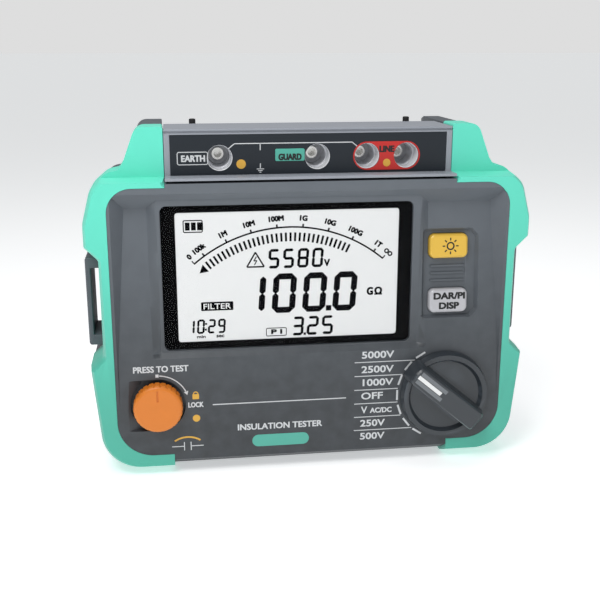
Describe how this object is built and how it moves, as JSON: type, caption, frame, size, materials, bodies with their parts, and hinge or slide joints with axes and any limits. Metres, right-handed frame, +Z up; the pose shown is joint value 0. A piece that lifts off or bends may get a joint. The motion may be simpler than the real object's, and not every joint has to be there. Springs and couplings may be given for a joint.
{
  "type": "insulation resistance tester",
  "caption": "Boxy high-voltage insulation tester with a sloping panel, large display, press-and-lock test knob, range knob, lead sockets and corner bumpers.",
  "frame": {"origin": "middle of the base, on the surface that the tester stands on", "axes": "+Z up, -Y out of the front panel, +X to the right of somebody facing the panel"},
  "size_m": [0.226, 0.1, 0.177],
  "materials": {
    "case_grey": "moulded, fine grain",
    "case_dark": "moulded, fine grain",
    "bumper_teal": "satin elastomer",
    "terminal_grey": "moulded",
    "label_dark": "printed film",
    "label_red": "printed film",
    "label_teal": "printed film",
    "socket_plastic": "moulded insulator",
    "contact_metal": "nickel plated",
    "window_clear": "clear acrylic",
    "mask_black": "black print",
    "lcd_white": "lit display",
    "diffuser_white": "diffuser",
    "holder_white": "moulded",
    "strip_rubber": "conductive strip",
    "key_yellow": "silicone",
    "key_silver": "painted",
    "membrane_grey": "silicone",
    "board_green": "solder resist",
    "knob_orange": "moulded",
    "plunger_white": "moulded",
    "steel": "bright",
    "switch_black": "moulded",
    "knob_grey": "moulded",
    "pointer_white": "insert",
    "transformer_amber": "taped winding",
    "potting_black": "potted block",
    "can_blue": "sleeved can",
    "cell_body": "wrapped cell",
    "foot_rubber": "rubber",
    "gasket_grey": "rubber"
  },
  "bodies": {
    "housing": {"front_case": "case_grey", "rear_case": "case_dark", "case_gasket": "gasket_grey", "bumper_left": "bumper_teal", "bumper_right": "bumper_teal", "strap_bar_left": "case_dark", "strap_bar_right": "case_dark", "terminal_housing": "terminal_grey", "terminal_label": "label_dark", "line_label": "label_red", "guard_label": "label_teal", "earth_socket": "socket_plastic", "guard_socket": "socket_plastic", "line_left_socket": "socket_plastic", "line_right_socket": "socket_plastic", "socket_contacts": "contact_metal", "terminal_board": "board_green", "lcd_window": "window_clear", "lcd_mask": "mask_black", "lcd_panel": "lcd_white", "lcd_light_guide": "diffuser_white", "lcd_holder": "holder_white", "zebra_strips": "strip_rubber", "keypad_membrane": "membrane_grey", "key_board": "board_green", "key_board_posts": "holder_white", "test_spring": "steel", "test_microswitch": "switch_black", "switch_bush": "steel", "rotary_switch": "switch_black", "main_board": "board_green", "board_spacers": "holder_white", "board_screws": "steel", "hv_transformer": "transformer_amber", "hv_multiplier": "potting_black", "filter_capacitors": "can_blue", "buzzer": "switch_black", "battery_cells": "cell_body", "battery_contacts": "steel", "case_screws": "steel", "rear_feet": "foot_rubber", "top_pegs": "foot_rubber"},
    "test_plunger_body": {"test_plunger": "plunger_white", "plunger_clip": "steel"},
    "test_knob_body": {"test_knob": "knob_orange"},
    "range_selector": {"range_knob": "knob_grey", "range_pointer": "pointer_white", "range_shaft": "steel", "switch_rotor": "plunger_white"},
    "backlight_key": {"backlight_button": "key_yellow"},
    "display_key": {"display_button": "key_silver"},
    "battery_door": {"battery_cover": "case_dark", "battery_cover_gasket": "gasket_grey", "cover_screws": "steel"}
  },
  "joints": [
    {"name": "test_press", "type": "slide", "parent": "housing", "child": "test_plunger_body", "axis": [0, 1, 0], "range_m": [0, 0.003], "stiffness_N_per_m": 900, "springref_m": -0.002, "deforming": ["test_spring"]},
    {"name": "test_lock_twist", "type": "hinge", "parent": "test_plunger_body", "child": "test_knob_body", "pos_m": [-0.079, -0.037, 0.0382], "axis": [0, 1, 0], "range_deg": [0, 75]},
    {"name": "range_turn", "type": "hinge", "parent": "housing", "child": "range_selector", "pos_m": [0.0693, -0.037, 0.0372], "axis": [0, -1, 0], "range_deg": [-20, 100]},
    {"name": "backlight_press", "type": "slide", "parent": "housing", "child": "backlight_key", "axis": [0, 0.9959, -0.0901], "range_m": [0, 0.001], "stiffness_N_per_m": 600, "springref_m": -0.001},
    {"name": "display_press", "type": "slide", "parent": "housing", "child": "display_key", "axis": [0, 0.9959, -0.0901], "range_m": [0, 0.001], "stiffness_N_per_m": 600, "springref_m": -0.001},
    {"name": "battery_cover_off", "type": "slide", "parent": "housing", "child": "battery_door", "axis": [0, 1, 0], "range_m": [0, 0.03]}
  ]
}
